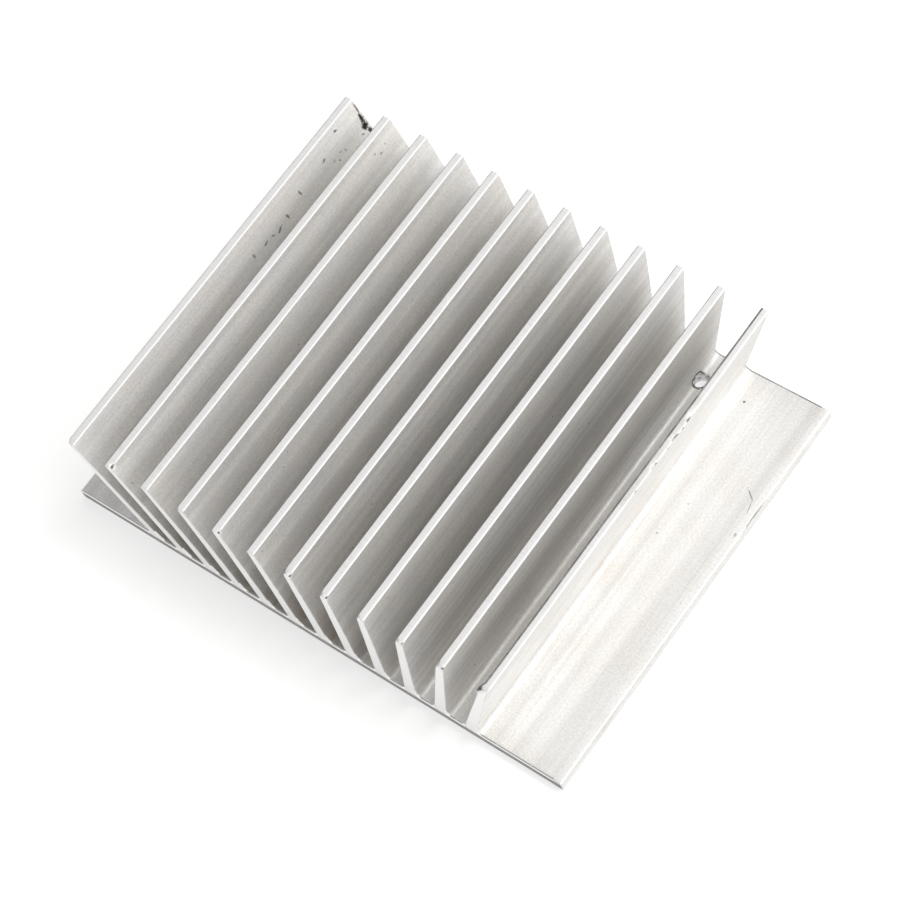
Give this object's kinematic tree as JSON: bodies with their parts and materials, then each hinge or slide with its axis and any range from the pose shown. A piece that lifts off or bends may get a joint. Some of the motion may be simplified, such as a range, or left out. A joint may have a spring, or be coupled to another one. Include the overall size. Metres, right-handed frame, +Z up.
{
  "type": "extruded heat sink",
  "caption": "Flat extruded aluminium heat sink: a row of fanned, tapered cooling fins on a thin base plate with a bare ledge on each side and a small drilled hole.",
  "frame": {"origin": "middle of the flat underside of the base plate", "axes": "+X across the row of fins, +Y along the fins towards the drilled end, +Z up, out of the base towards the fin tips"},
  "size_m": [0.1344, 0.1, 0.036],
  "materials": {
    "mill_aluminium": "satin mill finish, as extruded and sawn"
  },
  "bodies": {
    "root": {"heat_sink": "mill_aluminium"}
  },
  "joints": []
}
